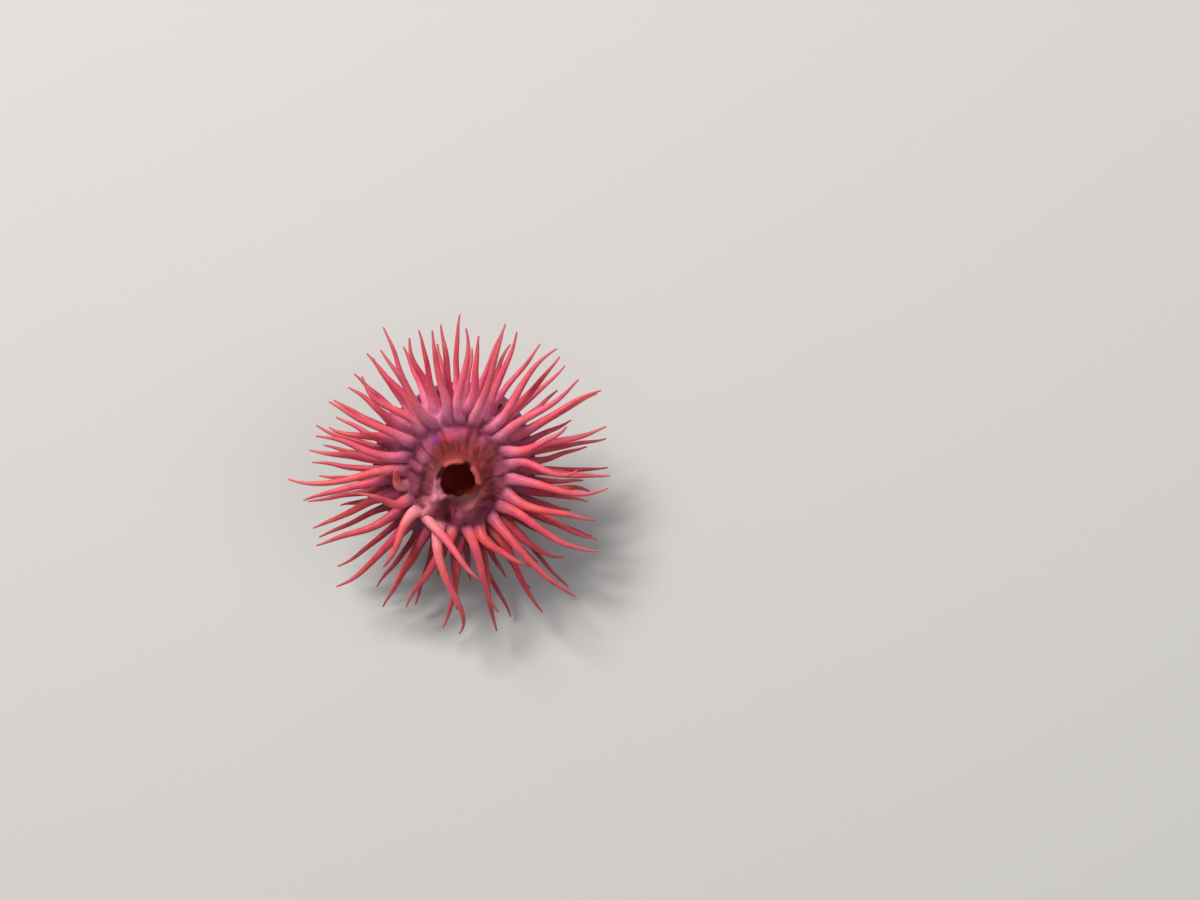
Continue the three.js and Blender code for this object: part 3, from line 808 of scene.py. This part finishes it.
def add_column(skin, inner):
    """From the collar down to the rounded edge of the sole, and the sole itself."""
    rim = column_radius(0)
    sole = [(rim - inside, height) for inside, height in SOLE_RINGS] + [(SOLE_MIDDLE_RADIUS, 0.0)]
    previous = inner
    for length in COLUMN_RINGS:
        ring = []
        for step in range(AROUND):
            degrees = angle_at(step)
            turn = math.radians(degrees)
            wave = math.cos(turn * RIDGE_COUNT)
            ridge = RIDGE_RELIEF * wave * smooth((length - 1) / 6)
            place = Vector((math.cos(turn) * 4, math.sin(turn) * 4, length * 0.5))
            fold = 0.45 * noise.noise(place) + 0.12 * math.sin(length * 2.2 + 2 * noise.noise(place * 0.6))
            radius = column_radius(length) - 0.15 + ridge + fold * smooth(length / 5)
            flat = on_circle(radius, degrees, length - COLUMN_LENGTH - CROWN_DEPTH)
            colour = mix(COLUMN_DARK, COLUMN_RED, 0.7 + 0.12 * wave + 0.02 * (length - 10))
            colour = mix(colour, FOOT_BLUE, 0.8 * hump(length - 0.45, 0.2))
            ring.append(skin.add(bend(flat[0], flat[1], length), flat, colour, column=1.0))
        skin.band(ring, previous)
        previous = ring
    for radius, height in sole:
        ring = []
        for step in range(AROUND):
            flat = on_circle(radius, angle_at(step), height - COLUMN_LENGTH - CROWN_DEPTH)
            ring.append(skin.add([flat[0], flat[1], height], flat, COLUMN_RED, column=1.0))
        skin.band(ring, previous)
        previous = ring
    middle = skin.add([0, 0, 0], [0, 0, -COLUMN_LENGTH - CROWN_DEPTH], COLUMN_RED, column=1.0)
    for j in range(AROUND):
        skin.faces.append((previous[(j + 1) % AROUND], previous[j], middle))


def build_skin():
    skin = Skin()
    ring = add_mouth_and_disc(skin)
    for tentacles in (INNER, MIDDLE, OUTER):
        ring = add_tentacle_band(skin, tentacles, ring)
    ring = add_collar(skin, ring)
    add_column(skin, ring)
    mesh = bpy.data.meshes.new("anemone_skin")
    mesh.from_pydata([tuple(p * MM) for p in skin.points], [], skin.faces)
    for name, values in skin.zones.items():
        mesh.attributes.new(name, "FLOAT", "POINT").data.foreach_set("value", np.array(values, np.float32))
    for name, values in (("flat", skin.flat), ("limb", skin.limbs)):
        vectors = np.array(values, np.float32).reshape(-1)
        mesh.attributes.new(name, "FLOAT_VECTOR", "POINT").data.foreach_set("vector", vectors)
    colours = np.ones((len(skin.colours), 4), np.float32)
    colours[:, :3] = np.array(skin.colours)
    mesh.attributes.new("tint", "FLOAT_COLOR", "POINT").data.foreach_set("color", colours.reshape(-1))
    piece = bpy.data.objects.new("anemone_skin", mesh)
    bpy.context.scene.collection.objects.link(piece)
    subdivide(piece)
    return piece


def subdivide(piece):
    modifier = piece.modifiers.new("Subdivision", "SUBSURF")
    modifier.levels = 1
    bpy.context.view_layer.update()
    evaluated = piece.evaluated_get(bpy.context.evaluated_depsgraph_get())
    fine = bpy.data.meshes.new_from_object(evaluated)
    piece.modifiers.clear()
    piece.data = fine
    fine.polygons.foreach_set("use_smooth", [True] * len(fine.polygons))
    bpy.context.view_layer.update()


# ------------------------------------------------------------------ material

# A Mix node has a socket for each kind of data under the same names. These are the colours' places.
MIX_COLOUR_A = 6
MIX_COLOUR_B = 7
MIX_COLOUR_RESULT = 2

# The disc's rays: their middle, how closely they stand, and how fast they change on the way out.
RAY_CENTRE = (1.0, -1.1)
RAYS_AROUND = 6.0
RAYS_OUTWARD = 0.2


class Nodes:
    """Short calls for the nodes that the material uses."""

    def __init__(self, tree):
        self.tree = tree

    def add(self, kind, **settings):
        node = self.tree.nodes.new(kind)
        for name, value in settings.items():
            setattr(node, name, value)
        return node

    def put(self, value, socket):
        if isinstance(value, (int, float, tuple)):
            socket.default_value = value
        else:
            self.tree.links.new(value, socket)

    def attribute(self, name, output="Fac"):
        return self.add("ShaderNodeAttribute", attribute_name=name).outputs[output]

    def math(self, operation, a, b=0.0):
        node = self.add("ShaderNodeMath", operation=operation)
        self.put(a, node.inputs[0])
        self.put(b, node.inputs[1])
        return node.outputs[0]

    def times(self, a, b):
        return self.math("MULTIPLY", a, b)

    def noise(self, vector, scale, detail=3.0, roughness=0.55):
        node = self.add("ShaderNodeTexNoise")
        self.put(vector, node.inputs["Vector"])
        node.inputs["Scale"].default_value = scale
        node.inputs["Detail"].default_value = detail
        node.inputs["Roughness"].default_value = roughness
        return node.outputs["Fac"]

    def scaled(self, vector, scale):
        node = self.add("ShaderNodeVectorMath", operation="MULTIPLY")
        self.put(vector, node.inputs[0])
        node.inputs[1].default_value = scale
        return node.outputs["Vector"]

    def rays(self, vector, centre, around, outward):
        """A pattern space that runs round a centre and out from it, to draw rays with."""
        split = self.add("ShaderNodeSeparateXYZ")
        self.put(vector, split.inputs[0])
        x = self.math("SUBTRACT", split.outputs["X"], centre[0])
        y = self.math("SUBTRACT", split.outputs["Y"], centre[1])
        radius = self.math("SQRT", self.math("ADD", self.times(x, x), self.times(y, y)))
        join = self.add("ShaderNodeCombineXYZ")
        self.put(self.times(self.math("DIVIDE", x, radius), around), join.inputs["X"])
        self.put(self.times(self.math("DIVIDE", y, radius), around), join.inputs["Y"])
        self.put(self.times(radius, outward), join.inputs["Z"])
        return join.outputs["Vector"]

    def remap(self, value, low, high, to_low=0.0, to_high=1.0):
        node = self.add("ShaderNodeMapRange", clamp=True, interpolation_type="SMOOTHSTEP")
        self.put(value, node.inputs["Value"])
        for name, number in (("From Min", low), ("From Max", high), ("To Min", to_low), ("To Max", to_high)):
            node.inputs[name].default_value = number
        return node.outputs["Result"]

    def over(self, share, under, colour, blend="MIX"):
        """Lays one of the colours above over a colour socket."""
        node = self.add("ShaderNodeMix", data_type="RGBA", blend_type=blend)
        self.put(share, node.inputs["Factor"])
        self.put(under, node.inputs[MIX_COLOUR_A])
        self.put((*[float(part) for part in colour], 1.0), node.inputs[MIX_COLOUR_B])
        return node.outputs[MIX_COLOUR_RESULT]


def flesh_material():
    material = bpy.data.materials.new("anemone_flesh")
    material.use_nodes = True
    tree = material.node_tree
    shader = tree.nodes["Principled BSDF"]
    n = Nodes(tree)
    flat = n.attribute("flat", "Vector")
    limb = n.attribute("limb", "Vector")
    tint = n.attribute("tint", "Color")
    mask = n.attribute("tentacle")
    fleck = n.attribute("fleck")
    streak = n.attribute("streak")
    wet = n.attribute("wet")

    broad = n.noise(flat, 0.3, 4.0)
    fine = n.noise(flat, 1.7, 4.0, 0.6)
    soft = n.math("SUBTRACT", 1.0, n.times(mask, 0.65))
    grain = n.noise(flat, 6.0, 2.0, 0.6)
    column = n.attribute("column")
    lines = n.noise(n.scaled(flat, (0.7, 0.7, 0.2)), 1.0, 4.0, 0.55)
    lengthwise = n.noise(n.scaled(limb, (1.3, 1.3, 0.22)), 1.0, 3.0)
    crosswise = n.noise(n.scaled(limb, (0.5, 0.5, 2.6)), 1.0, 3.0, 0.6)
    rays = n.noise(n.rays(flat, RAY_CENTRE, RAYS_AROUND, RAYS_OUTWARD), 1.0, 1.5)

    colour = n.over(n.remap(broad, 0.35, 0.7, 0.0, 0.5), tint, BROAD_PINK, "MULTIPLY")
    warm = n.times(n.remap(lengthwise, 0.5, 0.66, 0.0, 0.45), mask)
    colour = n.over(warm, colour, WARM_STREAK)
    cool = n.times(n.remap(lengthwise, 0.46, 0.32, 0.0, 0.5), mask)
    colour = n.over(cool, colour, COOL_STREAK)
    dark_rays = n.times(n.remap(rays, 0.5, 0.34, 0.0, 0.8), streak)
    colour = n.over(dark_rays, colour, DARK_RAY, "MULTIPLY")
    pale_rays = n.times(n.remap(rays, 0.56, 0.72, 0.0, 0.16), streak)
    colour = n.over(pale_rays, colour, PALE_RAY)
    dark_lines = n.times(n.remap(lines, 0.52, 0.32, 0.0, 0.4), column)
    colour = n.over(dark_lines, colour, DARK_LINE, "MULTIPLY")
    bright_lines = n.times(n.remap(lines, 0.52, 0.74, 0.0, 0.25), column)
    colour = n.over(bright_lines, colour, BRIGHT_LINE)
    colour = n.over(n.remap(fine, 0.5, 0.75, 0.0, 0.3), colour, WARM_GRAIN, "SOFT_LIGHT")
    dark_grain = n.times(n.remap(fine, 0.5, 0.25, 0.0, 0.5), soft)
    colour = n.over(dark_grain, colour, DARK_GRAIN, "MULTIPLY")
    spots = n.times(n.remap(n.noise(flat, 0.9, 2.0), 0.56, 0.66), fleck)
    colour = n.over(n.times(spots, 0.3), colour, VIOLET_SPOT)
    tree.links.new(colour, shader.inputs["Base Color"])

    # Throat, beads and disc are rougher than the rest, which keeps white glints off them.
    matt = n.math("ADD", n.times(wet, 0.3), n.times(streak, 0.24))
    rough = n.math("ADD", n.remap(fine, 0.3, 0.7, 0.4, 0.56), matt)
    tree.links.new(rough, shader.inputs["Roughness"])
    shader.inputs["Subsurface Weight"].default_value = 0.28
    shader.inputs["Subsurface Radius"].default_value = (1.0, 0.25, 0.2)
    shader.inputs["Subsurface Scale"].default_value = 0.0008
    shader.inputs["Specular IOR Level"].default_value = 0.3

    folds = n.times(n.times(crosswise, mask), 0.5)
    ribs = n.times(n.times(rays, streak), 0.8)
    height = n.math("ADD", n.math("ADD", fine, n.times(grain, 0.2)), n.math("ADD", folds, ribs))
    bump = n.add("ShaderNodeBump")
    bump.inputs["Strength"].default_value = 0.5
    bump.inputs["Distance"].default_value = 0.00014
    tree.links.new(height, bump.inputs["Height"])
    tree.links.new(bump.outputs["Normal"], shader.inputs["Normal"])
    return material


# ------------------------------------------------------------------ floor, light and camera

FLOOR_SIZE = 6.0             # in metres
FLOOR_COLOUR = (0.5, 0.49, 0.475, 1)
SKY_COLOUR = (0.92, 0.95, 1.0, 1)
SKY_STRENGTH = 0.34

IMAGE_WIDTH = 1200
IMAGE_HEIGHT = 900
LENS = 50.0
SENSOR = 36.0
CAMERA_DISTANCE = 375.0      # in millimetres, as the body
CAMERA_ELEVATION = math.radians(86)
CROWN_PIXEL = (454, 474)     # where the crown's middle falls in the frame


def add_floor():
    bpy.ops.mesh.primitive_plane_add(size=FLOOR_SIZE)
    floor = bpy.context.object
    floor.name = "floor"
    material = bpy.data.materials.new("floor_pale")
    material.use_nodes = True
    shader = material.node_tree.nodes["Principled BSDF"]
    shader.inputs["Base Color"].default_value = FLOOR_COLOUR
    shader.inputs["Roughness"].default_value = 0.85
    floor.data.materials.append(material)


def add_light(name, place, size, power, colour):
    data = bpy.data.lights.new(name, "AREA")
    data.shape = "DISK"
    data.size = size
    data.energy = power
    data.color = colour
    lamp = bpy.data.objects.new(name, data)
    lamp.location = place
    target = Vector(CROWN_ORIGIN * MM)
    lamp.rotation_euler = (target - Vector(place)).to_track_quat("-Z", "Y").to_euler()
    bpy.context.scene.collection.objects.link(lamp)


def add_camera():
    forward = np.array([0, math.cos(CAMERA_ELEVATION), -math.sin(CAMERA_ELEVATION)])
    up = np.array([0, math.sin(CAMERA_ELEVATION), math.cos(CAMERA_ELEVATION)])
    right = np.array([1.0, 0, 0])
    focal = IMAGE_WIDTH * LENS / SENSOR
    across = (CROWN_PIXEL[0] - IMAGE_WIDTH / 2) / focal * CAMERA_DISTANCE
    above = (IMAGE_HEIGHT / 2 - CROWN_PIXEL[1]) / focal * CAMERA_DISTANCE
    place = CROWN_ORIGIN - forward * CAMERA_DISTANCE - right * across - up * above
    data = bpy.data.cameras.new("camera")
    data.lens = LENS
    data.sensor_width = SENSOR
    data.clip_start = 0.01
    camera = bpy.data.objects.new("camera", data)
    turn = Matrix(np.stack([right, up, -forward], 1).tolist()).to_4x4()
    camera.matrix_world = Matrix.Translation(Vector(place * MM)) @ turn
    bpy.context.scene.collection.objects.link(camera)
    bpy.context.scene.camera = camera


def add_world():
    world = bpy.data.worlds.new("studio")
    world.use_nodes = True
    background = world.node_tree.nodes["Background"]
    background.inputs["Color"].default_value = SKY_COLOUR
    background.inputs["Strength"].default_value = SKY_STRENGTH
    bpy.context.scene.world = world


# ------------------------------------------------------------------ the scene

bpy.context.scene.view_settings.view_transform = "Standard"
add_camera()
add_world()
add_floor()
add_light("key", place=(-0.5, 0.8, 1.15), size=0.45, power=27.0, colour=(1.0, 0.97, 0.93))
add_light("fill", place=(1.0, 0.1, 1.0), size=0.9, power=3.6, colour=(0.94, 0.96, 1.0))

skin = build_skin()
skin.data.materials.clear()
skin.data.materials.append(flesh_material())
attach(skin, "root")
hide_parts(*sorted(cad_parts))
